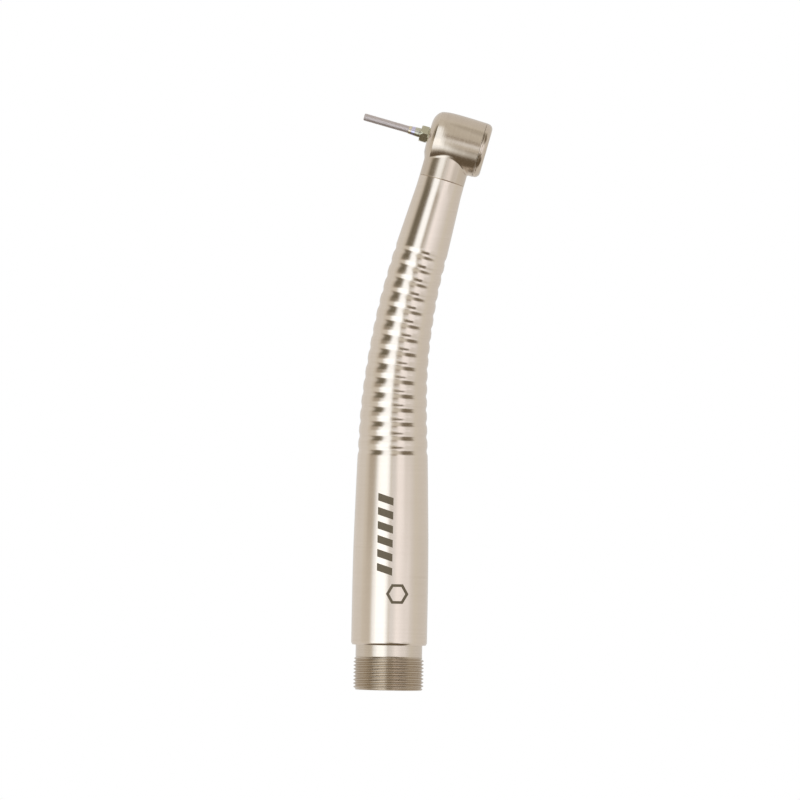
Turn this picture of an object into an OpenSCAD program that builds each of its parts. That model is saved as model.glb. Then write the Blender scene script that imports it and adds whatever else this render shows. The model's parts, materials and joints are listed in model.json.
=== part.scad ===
// High speed dental handpiece: an air turbine with a wrench-tightened chuck and a four-port back end.
// Millimetres. The origin is the centre of the rear end face, and +Z runs up the straight handle.
// The handle bends towards +X, and the head stands on the bent neck with its bur towards -X.

/* [Centreline] */
// Length of the straight rear part of the handle's centreline
straight_l = 58.2; // [56:0.2:60]
// Radius of the bend
bend_r = 143.5; // [138:0.5:150]
// Angle of the neck to the straight handle
bend_angle = 15; // [13:0.5:17]
// Length from the end of the bend to the bur axis
neck_l = 27.7; // [27:0.1:29]

/* [Handle sleeve] */
// Distance from the rear face to the sleeve's rear edge
sleeve_rear = 10; // [9.8:0.1:10.4]
// Number of grip grooves
grip_count = 15; // [1:1:15]
// Distance between grip grooves
grip_pitch = 3.15; // [2.8:0.01:3.2]
// Place of the first grip groove on the centreline
grip_start = 53.2; // [52.8:0.1:53.6]
// Depth of a grip groove
grip_depth = 0.22; // [0.1:0.02:0.3]
// Width of a grip groove
grip_w = 2.2; // [1.5:0.1:2.6]

/* [Back end] */
// Radius of the thread's crests
thread_r = 7.8; // [7.7:0.05:7.9]
// Length of the thread
thread_l = 7.4; // [7.1:0.1:7.6]
// Pitch of the thread, 32 to the inch
thread_pitch = 0.794; // [0.75:0.001:0.85]
// Radius of the plain collar above the thread
collar_r = 7.4; // [7.35:0.01:7.42]
// Radius of the hose socket in the collar
socket_r = 6.3; // [6.25:0.05:6.4]
// Depth of the hose socket
socket_depth = 4.2; // [4:0.1:4.3]

/* [Ports] */
// Radius of the drive air tube's tip
drive_tip_r = 1.1; // [1:0.05:1.15]
// Radius of the exhaust tube's tip
exhaust_tip_r = 1.6; // [1.5:0.05:1.6]
// Radius of the water tube's tip and of the chip air tube's tip
small_tip_r = 0.75; // [0.7:0.05:0.8]
// Offset of the two large tubes from the centreline
large_offset = 2.35; // [2.3:0.05:2.4]
// Offset of the two small tubes from the centreline
small_offset = 3; // [2.9:0.05:3.05]

/* [Head] */
// Largest radius of the head
head_r = 6.25; // [6.2:0.05:6.3]
// Distance from the neck's axis to the nose face
nose_z = 5.65; // [5.6:0.05:5.8]
// Distance from the neck's axis to the back of the cap
back_z = 7.7; // [7.6:0.05:7.8]
// Thickness of the cap's rim
cap_rim = 1.5; // [1.4:0.1:1.5]
// Radius of the neck at the head
neck_r = 5.1; // [5.05:0.05:5.2]
// Distance from the bur axis to the seam with the handle sleeve
seam_l = 8.9; // [8.6:0.1:9.2]

/* [Turbine] */
// Bore of the ball bearings
bearing_bore = 3.175; // [3.17:0.001:3.18]
// Outer diameter of the ball bearings
bearing_od = 6.35; // [6.34:0.01:6.36]
// Width of the ball bearings
bearing_w = 2.38; // [2.36:0.01:2.4]
// Diameter of the balls
ball_d = 1; // [0.96:0.01:1]
// Number of balls in a bearing
ball_count = 7; // [5:1:7]
// Outer diameter of the impeller
impeller_d = 8.5; // [8:0.1:8.7]
// Number of buckets round the impeller
bucket_count = 14; // [8:1:14]

/* [Chuck and bur] */
// Diameter of a friction grip bur's shank
shank_d = 1.6; // [1.59:0.01:1.6]
// Length of the bur blank
blank_l = 20; // [19:0.5:22]
// Distance from the nose face to the bur blank's tip
blank_reach = 14.9; // [14.5:0.1:16]
// Width across the flats of the chuck nut
nut_flats = 3.5; // [3.4:0.05:3.6]
// Height of the chuck nut's top above the nose face
nut_top = 1.85; // [1.7:0.05:2]

/* [Hidden] */
$fn = 64;
smooth = 96;                 // facets of the large round outlines
sides = 40;                  // sides of the swept handle sleeve
gap = 0.05;                  // running gap between pieces that turn or slide on each other
slip = 0.02;                 // gap between a piece and its seat on the same body
through = 0.2;               // how far a cutter runs past what it cuts

// Centreline: a straight rear part, one arc and a straight neck.
arc_l = bend_r * bend_angle * PI / 180;
head_s = straight_l + arc_l + neck_l;
seam_s = head_s - seam_l;

// Sleeve outline, as [distance along the centreline, radius]. The grip grooves are cut below it.
sleeve_outer = [[sleeve_rear, 8.2], [sleeve_rear + 0.5, 8.45], [21, 8.45], [32, 8.34], [42, 8.1],
    [51, 7.84], [63, 7.36], [75.5, 6.68], [84, 6.36], [90, 6.12], [98, 5.85], [102, 5.66], [109, 5.3],
    [113, 5.12], [seam_s, 5.1]];
sleeve_inner = [[sleeve_rear, 7.5], [24, 7.5], [26, 7.2], [52, 6.65], [75, 5.5], [97, 4.8],
    [107, 4.5], [seam_s, 4.5]];
grip_steps = [-0.5, -0.25, 0, 0.25, 0.5];
grip_share = [0, 0.6, 1, 0.6, 0];

// Back end, along the handle's axis.
tip_z = 4.4;                 // rear ends of the four ports' tips
gasket_z = 7.4;              // rear face of the gasket
gasket_t = 0.8;
block_z = gasket_z + gasket_t;
block_t = 3.8;
chamber_r = 6;               // bore that holds the gasket and the port block
inner_r = 5.4;               // bore of the spigot in front of the port block
spigot_l = 22;
thread_start = 0.2;          // rear edge of the first crest
thread_crest = 0.12;         // width of a crest
thread_depth = 0.45;
ring_count = floor((thread_l - thread_start) / thread_pitch + 0.5);
seal_l = 2.5;                // distance of the seal inside the sleeve from the sleeve's rear edge
groove_r = 0.26;             // section of that seal
spacer_z = 49;
spacer_t = 2;
tube_step = 0.2;             // a tube is this much thicker than its port's tip
tube_wall = 0.3;
tube_rear = 10.2;            // rear ends of the tubes, inside the port block
tube_sides = 16;
bend_steps = 6;              // stations round the bend

// Ports, as [offset in x, offset in y, radius of the tip].
DRIVE_PORT = [0, -large_offset, drive_tip_r];
EXHAUST_PORT = [0, large_offset, exhaust_tip_r];
WATER_PORT = [-small_offset, 0, small_tip_r];
AIR_PORT = [small_offset, 0, small_tip_r];
PORTS = [DRIVE_PORT, EXHAUST_PORT, WATER_PORT, AIR_PORT];

// Head, in its own frame: +Z towards the bur, +X up the neck, zero where the two axes cross.
cap_seat = cap_rim - back_z;
cap_end = -4.2;              // front end of the cap's skirt
cap_bore_r = 5.35;
turbine_r = 4.6;
pocket_r = 3.45;             // bearing pocket
nose_hole_r = 1.95;
crease_r = head_r - 0.4;     // where the head's side meets the domed nose
crease_z = nose_z - 1.55;
nose_dome = [[5.5, nose_z - 1.05], [5, nose_z - 0.63], [4.3, nose_z - 0.27], [3.5, nose_z - 0.07],
    [2.5, nose_z]];
front_z = 2.2;               // rear face of the front bearing
rear_z = -5.3;               // rear face of the rear bearing
ring_r = 0.25;               // section of the bearings' rings
ring_seat = 0.3;
spigot_r = 4.4;
spigot_end = 14.5;           // rear end of the neck's spigot
socket_end = 12.7;           // front end of the tubes
seal_x = 11;                 // place of the seal on the spigot
jet_x = 7.6;                 // rear end of the air jet
jet_l = 2.2;
channel_r = 0.35;            // the water and chip air channels along the neck
drilling_r = 0.3;            // the slanting drillings that lead from them to the nose
turn_r = 0.42;               // the rounded pocket where a channel and a drilling meet
port_x = 3.4;                // place of the spray ports on the nose
port_y = 2.1;
port_r = 0.4;
port_l = 1.5;                // depth of a spray port below the nose face's level
nozzle_h = 2;                // longer than a port, and cut to the nose
water_hole_r = 0.15;
air_hole_r = 0.2;

// Turning points of the two narrow channels from the neck to the nose.
water_bend = [-6.5, 0, small_offset];
air_bend = [-9.5, 0, -small_offset];
air_cross = [-8, -0.9, 2.2];

// Head cap.
drift_r = 1.77;              // hole for the pin that pushes a bur out
skirt_r = cap_bore_r - 0.1;
skirt_gap = 0.05;
pocket_floor = rear_z - 0.4;
notch_start = 2.4;           // the four notches for the cap wrench
notch_l = 1.6;
notch_w = 1;
notch_depth = 0.5;
cap_seal_r = 0.16;           // section of the seal in the skirt
cap_seal_z = cap_seat + 0.45;
cap_seal_at = cap_bore_r - 0.2;
rear_ring_at = pocket_r + 0.03;
rear_ring_z = rear_z + bearing_w / 2 - 0.5;

// Turbine.
pitch_r = (bearing_bore + bearing_od) / 4;
race_wall = 0.47;
groove_gap = 0.05;
cage_h = 1.5;
cage_wall = 0.22;
race_washer_t = 0.23;        // flat washer behind the front bearing
race_washer_r = bearing_od / 2 + 0.9;
wave_washer_t = 0.22;        // spring washer behind the rear bearing
wave_washer_r = [3.1, 2.6];
impeller_z = -1.9;
impeller_h = 3.6;
impeller_rim = 0.5;          // what is left above and below a bucket
bucket_r = 0.8;
spindle_r = bearing_bore / 2;
spindle_front = 5.2;
spindle_rear = -5.5;

// Chuck and bur.
shank_r = shank_d / 2;
collet_r = 1.05;
collet_tip_r = 0.88;
collet_front = nose_z + 4.6;
collet_cone = 2.3;
collet_rear = -3.5;
nut_skirt_r = 1.3;
nut_skirt_z = 3.8;
nut_neck_r = 1.5;
nut_hex_z = nose_z + 0.15;
nut_foot_r = nut_flats * 0.72;   // the hexagon's corners are turned off towards its top
nut_crown_r = nut_flats * 0.52;
slit_w = 0.16;
slit_l = 12;
bur_lead = 0.15;             // chamfer of the blank's ends

STEEL = [0.80, 0.75, 0.67];
DARK_STEEL = [0.62, 0.56, 0.48];
BRIGHT_STEEL = [0.85, 0.85, 0.85];
BRASS = [0.70, 0.62, 0.38];
RUBBER = [0.10, 0.10, 0.10];
BROWN_RUBBER = [0.36, 0.20, 0.11];
ALUMINIUM = [0.75, 0.76, 0.78];
PHENOLIC = [0.45, 0.25, 0.13];

// Angle, point and sideways direction of the centreline at distance s from the rear face.
function turned(s) = bend_angle * max(0, min(1, (s - straight_l) / arc_l));
function side(s) = [cos(turned(s)), 0, -sin(turned(s))];
function along(s) = [sin(turned(s)), 0, cos(turned(s))];
function on_arc(t) = [bend_r * (1 - cos(t)), 0, straight_l + bend_r * sin(t)];
function place(s) = s <= straight_l ? [0, 0, s]
    : on_arc(turned(s)) + max(0, s - straight_l - arc_l) * along(s);
function ring(s, r, offset, n) = [for (i = [0 : n - 1])
    place(s) + (offset[0] + r * cos(360 * i / n)) * side(s) + [0, offset[1] + r * sin(360 * i / n), 0]];

// Stations along the sleeve: the smooth rear, the grip grooves, then the smooth neck.
function grip_s(i) = grip_start + i * grip_pitch;
function outer_at(s) = lookup(s, sleeve_outer);
function inner_at(s) = lookup(s, sleeve_inner);
function rear_rings() = [for (p = sleeve_outer) if (p[0] < grip_s(0) - grip_w / 2) p];
function grip_rings() = [for (i = [0 : grip_count - 1], j = [0 : 4])
    let (s = grip_s(i) + grip_steps[j] * grip_w) [s, outer_at(s) - grip_depth * grip_share[j]]];
function neck_rings() = [for (p = sleeve_outer) if (p[0] > grip_s(grip_count - 1) + grip_w / 2) p];

module at_head() {
    translate(place(head_s)) rotate([0, bend_angle - 90, 0]) children();
}

// A closed tube along the centreline, at an offset from it. outer and inner are lists of
// [distance along the centreline, radius], which share both end stations.
module swept_tube(outer, inner, offset, n) {
    loop = concat(outer, [for (i = [len(inner) - 1 : -1 : 0]) inner[i]]);
    points = [for (p = loop) each ring(p[0], p[1], offset, n)];
    faces = [for (i = [0 : len(loop) - 1], j = [0 : n - 1])
        let (a = i * n, b = ((i + 1) % len(loop)) * n, k = (j + 1) % n)
        each [[a + j, b + j, b + k], [a + j, b + k, a + k]]];
    polyhedron(points, faces, convexity = 6);
}

// A cylinder from one point to another.
module rod(from, to, r) {
    d = to - from;
    translate(from)
        rotate([0, acos(d[2] / norm(d)), atan2(d[1], d[0])])
            cylinder(r = r, h = norm(d));
}

module washer(outer_r, inner_r, h) {
    difference() {
        cylinder(r = outer_r, h = h);
        translate([0, 0, -through]) cylinder(r = inner_r, h = h + 2 * through);
    }
}

module torus(r, section_r) {
    rotate_extrude($fn = smooth) translate([r, 0]) circle(r = section_r, $fn = 32);
}

// A tube from the port block to the head. place_and_tip is [offset in x, offset in y, radius of the
// port's tip].
module service_tube(place_and_tip) {
    body_r = place_and_tip[2] + tube_step;
    stations = concat([tube_rear], [for (i = [0 : bend_steps]) straight_l + arc_l * i / bend_steps],
        [head_s - socket_end]);
    swept_tube([for (s = stations) [s, body_r]], [for (s = stations) [s, body_r - tube_wall]],
        place_and_tip, tube_sides);
}

// Handle.
module handle_sleeve() {
    color(STEEL)
        swept_tube(concat(rear_rings(), grip_rings(), neck_rings()), sleeve_inner, [0, 0], sides);
}

function thread_tooth(i) =
    let (z = thread_start + i * thread_pitch)
    [[thread_r, z], [thread_r, z + thread_crest],
     [thread_r - thread_depth, z + thread_pitch / 2 + thread_crest / 2]];

module back_end() {
    teeth = [for (i = [0 : ring_count - 1]) each thread_tooth(i)];
    outline = concat([[0, 0], [thread_r - 0.3, 0]], teeth,
        [[collar_r, thread_l], [collar_r, spigot_l], [0, spigot_l]]);
    color(DARK_STEEL) difference() {
        rotate_extrude($fn = smooth) polygon(outline);
        translate([0, 0, -through]) cylinder(r = socket_r, h = socket_depth + through, $fn = smooth);
        cylinder(r = chamber_r, h = block_z + block_t, $fn = smooth);
        cylinder(r = inner_r, h = spigot_l + through, $fn = smooth);
        translate([0, 0, sleeve_rear + seal_l]) torus(collar_r - 0.2, groove_r + slip);
    }
}

module collar_ring() {
    color(BROWN_RUBBER) translate([0, 0, sleeve_rear + seal_l]) torus(collar_r - 0.2, groove_r);
}

// A disc with a hole for each tube, which is clearance wider than the tube's tip.
module tube_plate(r, z, t, clearance) {
    translate([0, 0, z]) difference() {
        cylinder(r = r, h = t, $fn = smooth);
        for (p = PORTS)
            translate([p[0], p[1], -through]) cylinder(r = p[2] + clearance, h = t + 2 * through);
    }
}

// The block carries a stub for each port behind it, and takes the four tubes from the front.
module port_block() {
    color(BRIGHT_STEEL) difference() {
        union() {
            translate([0, 0, block_z]) cylinder(r = chamber_r - slip, h = block_t, $fn = smooth);
            for (p = PORTS) {
                translate([p[0], p[1], tip_z]) cylinder(r = p[2], h = block_z - tip_z);
                translate([p[0], p[1], gasket_z]) cylinder(r = p[2] + tube_step, h = gasket_t + through);
            }
        }
        for (p = PORTS) {
            translate([p[0], p[1], tip_z - through]) cylinder(r = p[2] - tube_wall, h = block_z + block_t);
            translate([p[0], p[1], tube_rear]) cylinder(r = p[2] + tube_step + slip, h = block_t);
        }
    }
}

module port_gasket() {
    color(RUBBER) tube_plate(chamber_r - slip, gasket_z, gasket_t, tube_step + slip);
}

module tube_spacer() {
    color(RUBBER)
        tube_plate(inner_at(spacer_z + spacer_t) - 0.2, spacer_z, spacer_t, tube_step + slip);
}

module drive_air_tube() {
    color(BRIGHT_STEEL) service_tube(DRIVE_PORT);
}

module exhaust_tube() {
    color(BRIGHT_STEEL) service_tube(EXHAUST_PORT);
}

module water_tube() {
    color(BRIGHT_STEEL) service_tube(WATER_PORT);
}

module chip_air_tube() {
    color(BRIGHT_STEEL) service_tube(AIR_PORT);
}

// Head.
module neck_bar(r, from_x, to_x) {
    translate([-from_x, 0, 0]) rotate([0, -90, 0]) cylinder(r = r, h = to_x - from_x, $fn = smooth);
}

// A hole along the neck, at [y, z] off its axis.
module neck_hole(y, z, r, from_x, to_x) {
    translate([-from_x, y, z]) rotate([0, -90, 0]) cylinder(r = r, h = to_x - from_x);
}

// The side swells a little in the middle, and meets the domed nose at a crease.
module head_outline() {
    polygon(concat([[0, cap_seat], [head_r - 0.07, cap_seat], [head_r, -3], [head_r, 1], [head_r - 0.04, 2],
        [head_r - 0.15, 3], [head_r - 0.3, 3.7], [crease_r, crease_z]], nose_dome, [[0, nose_z]]));
}

module turbine_bores() {
    translate([0, 0, cap_seat - through])
        cylinder(r = cap_bore_r, h = cap_end - cap_seat + through, $fn = smooth);
    translate([0, 0, cap_end - through])
        cylinder(r = turbine_r, h = front_z - cap_end + through, $fn = smooth);
    translate([0, 0, front_z - through]) cylinder(r = pocket_r, h = bearing_w + through);
    translate([0, 0, front_z]) cylinder(r = nose_hole_r, h = nose_z - front_z + through);
    translate([0, 0, front_z + bearing_w / 2])
        torus(pocket_r, ring_seat);
}

// Floor of a spray port on the nose.
function port_floor(y) = [-port_x, y, nose_z - port_l];

module service_bores() {
    end_x = spigot_end + through;
    neck_hole(-large_offset, 0, drive_tip_r + tube_step + slip, socket_end, end_x);
    neck_hole(large_offset, 0, exhaust_tip_r + tube_step + slip, socket_end, end_x);
    neck_hole(0, small_offset, small_tip_r + tube_step + slip, socket_end, end_x);
    neck_hole(0, -small_offset, small_tip_r + tube_step + slip, socket_end, end_x);
    neck_hole(-large_offset, 0, drive_tip_r - slip, turbine_r / 2, socket_end + through);
    neck_hole(large_offset, 0, exhaust_tip_r - slip, turbine_r / 2, socket_end + through);
    neck_hole(0, small_offset, channel_r, -water_bend[0], socket_end + through);
    neck_hole(0, -small_offset, channel_r, -air_bend[0], socket_end + through);
    for (turn = [water_bend, air_bend, air_cross])
        translate(turn) sphere(r = turn_r);
    rod(water_bend, port_floor(port_y), drilling_r);
    rod(air_bend, air_cross, drilling_r);
    rod(air_cross, port_floor(-port_y), drilling_r);
    for (y = [-port_y, port_y])
        translate(port_floor(y)) cylinder(r = port_r + slip, h = nozzle_h);
}

module head_housing() {
    color(STEEL) at_head() difference() {
        union() {
            rotate_extrude($fn = smooth) head_outline();
            neck_bar(neck_r, 0, seam_l);
            neck_bar(spigot_r, seam_l - through, spigot_end);
        }
        turbine_bores();
        service_bores();
        translate([-seal_x, 0, 0]) rotate([0, 90, 0]) torus(spigot_r - 0.15, ring_r + slip);
    }
}

module neck_seal() {
    color(RUBBER) at_head() translate([-seal_x, 0, 0]) rotate([0, 90, 0]) torus(spigot_r - 0.17, ring_r);
}

module air_jet() {
    color(BRASS) at_head() difference() {
        neck_hole(-large_offset, 0, drive_tip_r - 2 * slip, jet_x - jet_l, jet_x);
        neck_hole(-large_offset, 0, drive_tip_r / 2, jet_x - jet_l - through, jet_x + through);
    }
}

// A nozzle that lies flush with the domed nose.
module spray_nozzle(y, hole_r) {
    at_head() difference() {
        intersection() {
            translate(port_floor(y)) cylinder(r = port_r, h = nozzle_h);
            rotate_extrude($fn = smooth) head_outline();
        }
        translate(port_floor(y) - [0, 0, through]) cylinder(r = hole_r, h = nozzle_h + 2 * through);
    }
}

module water_nozzle() {
    color(BRIGHT_STEEL) spray_nozzle(port_y, water_hole_r);
}

module chip_air_nozzle() {
    color(BRIGHT_STEEL) spray_nozzle(-port_y, air_hole_r);
}

// Bearings: each is centred on its own mid plane.
module ball_track(play) {
    torus(pitch_r, ball_d / 2 + play);
}

module outer_race(z) {
    color(BRIGHT_STEEL) at_head() translate([0, 0, z]) difference() {
        washer(bearing_od / 2, bearing_od / 2 - race_wall, bearing_w);
        translate([0, 0, bearing_w / 2]) ball_track(groove_gap);
    }
}

module inner_race(z) {
    color(BRIGHT_STEEL) at_head() translate([0, 0, z]) difference() {
        washer(spindle_r + race_wall, spindle_r + slip / 2, bearing_w);
        translate([0, 0, bearing_w / 2]) ball_track(groove_gap);
    }
}

module ball_set(z) {
    color(BRIGHT_STEEL) at_head() translate([0, 0, z + bearing_w / 2])
        for (i = [0 : ball_count - 1])
            rotate([0, 0, 360 * i / ball_count]) translate([pitch_r, 0, 0]) sphere(d = ball_d, $fn = 32);
}

module ball_cage(z) {
    color(PHENOLIC) at_head() translate([0, 0, z + bearing_w / 2]) difference() {
        translate([0, 0, -cage_h / 2]) washer(pitch_r + cage_wall, pitch_r - cage_wall, cage_h);
        for (i = [0 : ball_count - 1])
            rotate([0, 0, 360 * i / ball_count])
                translate([pitch_r - ball_d, 0, 0]) rotate([0, 90, 0])
                    cylinder(d = ball_d + 2 * slip, h = 2 * ball_d);
    }
}

module front_outer_race() {
    outer_race(front_z);
}

module rear_outer_race() {
    outer_race(rear_z);
}

module front_inner_race() {
    inner_race(front_z);
}

module rear_inner_race() {
    inner_race(rear_z);
}

module front_balls() {
    ball_set(front_z);
}

module rear_balls() {
    ball_set(rear_z);
}

module front_cage() {
    ball_cage(front_z);
}

module rear_cage() {
    ball_cage(rear_z);
}

module front_o_ring() {
    color(RUBBER) at_head() translate([0, 0, front_z + bearing_w / 2]) torus(pocket_r, ring_r);
}

module rear_o_ring() {
    color(RUBBER) at_head() translate([0, 0, rear_ring_z]) torus(rear_ring_at, ring_r);
}

// The washer keeps the front bearing against the turbine's side of its pocket.
module front_washer() {
    color(BRIGHT_STEEL) at_head() translate([0, 0, front_z - race_washer_t - slip])
        washer(race_washer_r, bearing_od / 2 - race_wall, race_washer_t);
}

module wave_washer() {
    color(BRIGHT_STEEL) at_head() translate([0, 0, rear_z - wave_washer_t - gap])
        washer(wave_washer_r[0], wave_washer_r[1], wave_washer_t);
}

// Turbine rotor.
module spindle() {
    color(BRIGHT_STEEL) at_head() difference() {
        translate([0, 0, spindle_rear]) cylinder(r = spindle_r, h = spindle_front - spindle_rear);
        translate([0, 0, spindle_rear - through])
            cylinder(r = shank_r, h = spindle_front - spindle_rear + 2 * through);
        translate([0, 0, collet_rear - gap])
            cylinder(r = collet_r + gap, h = spindle_front - collet_rear + gap + through);
        translate([0, 0, nut_skirt_z - gap])
            cylinder(r = nut_skirt_r + gap, h = spindle_front - nut_skirt_z + gap + through);
    }
}

module impeller() {
    color(ALUMINIUM) at_head() translate([0, 0, impeller_z]) difference() {
        washer(impeller_d / 2, spindle_r + slip / 2, impeller_h);
        for (i = [0 : bucket_count - 1])
            rotate([0, 0, 360 * i / bucket_count]) translate([impeller_d / 2, 0, impeller_rim])
                cylinder(r = bucket_r, h = impeller_h - 2 * impeller_rim);
    }
}

// Chuck: the nut turns on the spindle, and draws the split collet in.
module chuck_nut() {
    color(BRASS) at_head() difference() {
        union() {
            translate([0, 0, nut_skirt_z]) cylinder(r = nut_skirt_r, h = nut_hex_z - nut_skirt_z);
            translate([0, 0, spindle_front + gap])
                cylinder(r = nut_neck_r, h = nut_hex_z - spindle_front - gap);
            intersection() {
                translate([0, 0, nut_hex_z]) rotate([0, 0, 30])
                    cylinder(d = nut_flats / cos(30), h = nose_z + nut_top - nut_hex_z, $fn = 6);
                translate([0, 0, nut_hex_z])
                    cylinder(r1 = nut_foot_r, r2 = nut_crown_r, h = nose_z + nut_top - nut_hex_z);
            }
        }
        translate([0, 0, nut_skirt_z - through]) cylinder(r = collet_r + gap, h = nose_z + nut_top);
    }
}

module collet() {
    color(BRASS) at_head() difference() {
        union() {
            translate([0, 0, collet_rear])
                cylinder(r = collet_r, h = collet_front - collet_cone - collet_rear);
            translate([0, 0, collet_front - collet_cone])
                cylinder(r1 = collet_r, r2 = collet_tip_r, h = collet_cone);
        }
        translate([0, 0, collet_rear - through])
            cylinder(r = shank_r + slip, h = collet_front - collet_rear + 2 * through);
        for (a = [0, 90])
            rotate([0, 0, a]) translate([-2 * collet_r, -slit_w / 2, nut_skirt_z])
                cube([4 * collet_r, slit_w, slit_l]);
    }
}

module bur_blank() {
    color(BRIGHT_STEEL) at_head() translate([0, 0, nose_z + blank_reach - blank_l]) {
        cylinder(r1 = shank_r - bur_lead, r2 = shank_r, h = bur_lead);
        translate([0, 0, bur_lead]) cylinder(r = shank_r, h = blank_l - 2 * bur_lead);
        translate([0, 0, blank_l - bur_lead]) cylinder(r1 = shank_r, r2 = shank_r - bur_lead, h = bur_lead);
    }
}

// Head cap, with a seal in its skirt and a pocket for the rear bearing.
module cap_seal() {
    color(RUBBER) at_head() translate([0, 0, cap_seal_z]) torus(cap_seal_at, cap_seal_r);
}

module cap_solid() {
    rotate_extrude($fn = smooth)
        polygon([[0, -back_z], [head_r - 1.25, -back_z], [head_r - 0.62, -back_z + 0.2],
            [head_r - 0.24, -back_z + 0.6], [head_r - 0.1, -back_z + 1.2],
            [head_r - 0.07, cap_seat - skirt_gap], [0, cap_seat - skirt_gap]]);
    translate([0, 0, cap_seat - through])
        cylinder(r = skirt_r, h = cap_end - skirt_gap - cap_seat + through, $fn = smooth);
}

module head_cap() {
    color(STEEL) at_head() difference() {
        cap_solid();
        translate([0, 0, pocket_floor]) cylinder(r = pocket_r, h = cap_end - pocket_floor + through);
        translate([0, 0, -back_z - through]) cylinder(r = drift_r, h = back_z);
        translate([0, 0, rear_ring_z]) torus(rear_ring_at, ring_r + gap);
        translate([0, 0, cap_seal_z]) torus(cap_seal_at, cap_seal_r + gap);
        for (a = [0 : 90 : 270])
            rotate([0, 0, a]) translate([notch_start, -notch_w / 2, -back_z - through])
                cube([notch_l, notch_w, notch_depth + through]);
    }
}

handle_sleeve();
back_end();
collar_ring();
port_block();
port_gasket();
drive_air_tube();
exhaust_tube();
water_tube();
chip_air_tube();
tube_spacer();
head_housing();
neck_seal();
air_jet();
water_nozzle();
chip_air_nozzle();
front_outer_race();
front_o_ring();
front_washer();
rear_outer_race();
spindle();
impeller();
front_inner_race();
rear_inner_race();
front_balls();
front_cage();
rear_balls();
rear_cage();
chuck_nut();
collet();
bur_blank();
rear_o_ring();
wave_washer();
cap_seal();
head_cap();
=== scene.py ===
"""Looks of a high speed dental handpiece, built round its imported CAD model. Metres, in the model's frame."""

import itertools
import json
import math

import bpy
import numpy as np
from mathutils import Matrix, Vector


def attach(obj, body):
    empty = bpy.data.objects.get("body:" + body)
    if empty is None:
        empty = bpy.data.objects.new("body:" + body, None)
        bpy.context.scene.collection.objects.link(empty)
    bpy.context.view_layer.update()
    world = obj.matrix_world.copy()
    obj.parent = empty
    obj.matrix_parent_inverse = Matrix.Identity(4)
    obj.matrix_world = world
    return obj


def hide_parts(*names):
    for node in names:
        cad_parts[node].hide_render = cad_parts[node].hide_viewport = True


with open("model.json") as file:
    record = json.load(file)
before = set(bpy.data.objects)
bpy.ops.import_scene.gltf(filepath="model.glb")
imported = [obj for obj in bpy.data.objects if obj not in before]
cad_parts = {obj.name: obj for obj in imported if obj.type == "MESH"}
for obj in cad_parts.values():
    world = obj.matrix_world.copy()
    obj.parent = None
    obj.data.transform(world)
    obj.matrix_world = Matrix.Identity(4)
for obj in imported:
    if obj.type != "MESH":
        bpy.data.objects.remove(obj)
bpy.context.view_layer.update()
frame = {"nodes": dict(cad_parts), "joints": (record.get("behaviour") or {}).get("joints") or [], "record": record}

MM = 0.001
TURN = 2 * math.pi

# ---------------------------------------------------------------- places, from the frame
SPIN = next(j for j in frame["joints"] if j["name"] == "rotor_spin")
HEAD = Vector(SPIN["pos_m"])                    # where the bur's axis crosses the neck's
BUR = Vector(SPIN["axis"]).normalized()         # towards the bur's tip
BEND = math.asin(BUR.z)                         # angle of the neck to the straight handle
SIDE = Vector((0, 1, 0))
UP_NECK = SIDE.cross(BUR)
HEAD_FRAME = Matrix.Translation(HEAD) @ Matrix((UP_NECK, SIDE, BUR)).transposed().to_4x4()

BEND_R = 143.5 * MM                             # radius of the handle's bend
NECK_L = (HEAD.x - BEND_R * (1 - math.cos(BEND))) / math.sin(BEND)
STRAIGHT_L = HEAD.z - BEND_R * math.sin(BEND) - NECK_L * math.cos(BEND)
ARC_L = BEND_R * BEND
HEAD_S = STRAIGHT_L + ARC_L + NECK_L            # the head's place along the centreline
SEAM_L = 8.9 * MM                               # from the bur's axis back to the seam
SEAM_S = HEAD_S - SEAM_L


def mount(name):
    return next(m for m in frame["record"]["mounts"] if m["name"] == name)


# ---------------------------------------------------------------- mesh helpers
def piece(name, points, faces, normals=None, sharp_angle=None):
    """A mesh object with smooth shading. Points are in metres, in the model's frame."""
    mesh = bpy.data.meshes.new(name)
    mesh.from_pydata([tuple(p) for p in points], [], [tuple(int(i) for i in f) for f in faces])
    mesh.validate()
    mesh.shade_smooth()
    if sharp_angle:
        mesh.set_sharp_from_angle(angle=math.radians(sharp_angle))
    if normals is not None:
        mesh.normals_split_custom_set_from_vertices([tuple(n) for n in normals])
    made = bpy.data.objects.new(name, mesh)
    bpy.context.scene.collection.objects.link(made)
    return made


def ring_faces(rings, sides, closed):
    """Quads between neighbouring rings of points, and from the last ring to the first if closed."""
    faces = []
    for i in range(rings if closed else rings - 1):
        a, b = i * sides, (i + 1) % rings * sides
        faces += [(a + j, a + (j + 1) % sides, b + (j + 1) % sides, b + j) for j in range(sides)]
    return faces


def curve_through(points):
    """A smooth function through given (place, value) points, as piecewise cubics."""
    x, y = (np.array(v, float) for v in zip(*points))
    slopes = np.gradient(y, x)

    def value(s):
        i = int(np.clip(np.searchsorted(x, s) - 1, 0, len(x) - 2))
        width = x[i + 1] - x[i]
        t = (s - x[i]) / width
        return ((2 * t ** 3 - 3 * t ** 2 + 1) * y[i] + (t ** 3 - 2 * t ** 2 + t) * width * slopes[i]
                + (3 * t ** 2 - 2 * t ** 3) * y[i + 1] + (t ** 3 - t ** 2) * width * slopes[i + 1])

    return value


def revolve(name, outline, sides, at=Matrix.Identity(4), sharp_angle=30):
    """A solid turned from a closed outline of (radius, height) points that stays off the axis."""
    points = [at @ Vector((r * math.cos(TURN * j / sides), r * math.sin(TURN * j / sides), h))
              for r, h in outline for j in range(sides)]
    return piece(name, points, ring_faces(len(outline), sides, True), sharp_angle=sharp_angle)


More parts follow.
